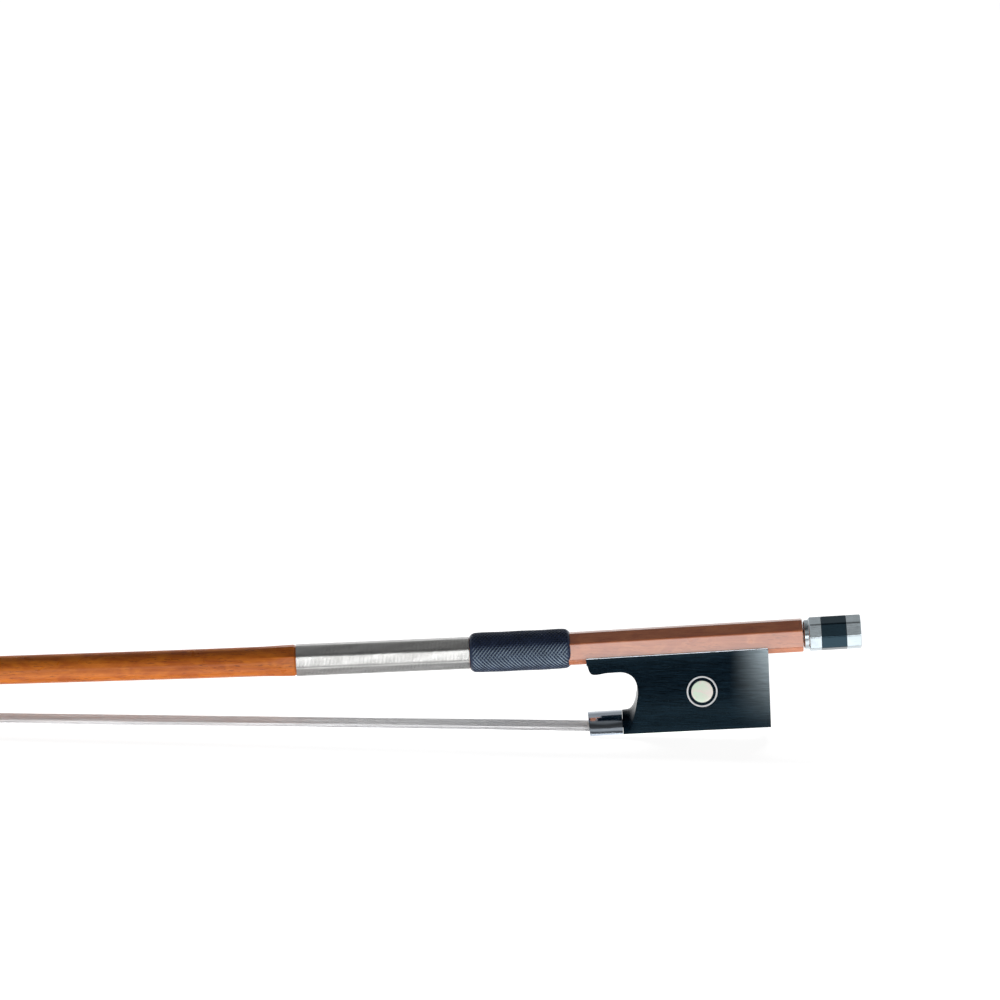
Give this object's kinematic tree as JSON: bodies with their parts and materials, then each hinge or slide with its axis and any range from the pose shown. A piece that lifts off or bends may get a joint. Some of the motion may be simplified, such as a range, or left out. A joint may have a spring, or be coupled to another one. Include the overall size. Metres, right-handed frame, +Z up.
{
  "type": "violin bow",
  "caption": "Full-size violin bow: cambered wooden stick with a carved head, flat hair ribbon, wound and leathered grip, and a frog that slides when its octagonal button is turned.",
  "frame": {"origin": "centre of the bounding box in plan, at the level surface the bow lies on, which its ferrule and the hair under its head touch", "axes": "+X along the bow from head to button, +Z up from the hair to the stick, Y across the hair ribbon, about which the bow is even except for its thread, its button's turn and its winding"},
  "size_m": [0.744, 0.0134, 0.0326],
  "materials": {
    "pernambuco": "polished reddish-brown wood with fine dark figure",
    "ebony": "polished black wood",
    "silver": "polished silver-coloured metal",
    "brass": "plain brass",
    "steel": "plain steel",
    "horsehair": "pale natural hair",
    "pearl": "iridescent shell",
    "leather": "black embossed leather",
    "plug_wood": "plain pale wood",
    "head_plate": "creamy white plate"
  },
  "bodies": {
    "stick": {"stick": "pernambuco", "winding": "silver", "leather_grip": "leather", "head_liner": "ebony", "head_plate": "head_plate", "head_plug": "plug_wood", "head_hair_knot": "horsehair", "hair_ribbon": "horsehair"},
    "frog": {"frog_body": "ebony", "ferrule": "silver", "ferrule_wedge": "plug_wood", "pearl_slide": "pearl", "slide_base": "ebony", "frog_plug": "plug_wood", "frog_hair_knot": "horsehair", "underslide": "silver", "underslide_pin_front": "silver", "underslide_pin_rear": "silver", "eyelet": "brass", "eye_ring_left": "silver", "eye_ring_right": "silver", "eye_pearl_left": "pearl", "eye_pearl_right": "pearl"},
    "screw": {"screw": "steel", "button_core": "ebony", "button_front_ring": "silver", "button_rear_ring": "silver"}
  },
  "joints": [
    {"name": "screw_turn", "type": "hinge", "parent": "stick", "child": "screw", "pos_m": [0.35646, 0, 0.02686], "axis": [-0.9972, 0, -0.0742], "range_deg": [-1445, 1805]},
    {"name": "frog_slide", "type": "slide", "parent": "stick", "child": "frog", "axis": [0.9972, 0, 0.0742], "range_m": [-0.003, 0.00375], "deforming": ["hair_ribbon"]}
  ],
  "couplings": [
    {"joint": "screw_turn", "follows": "frog_slide", "rad_per_m": 8377.6}
  ]
}
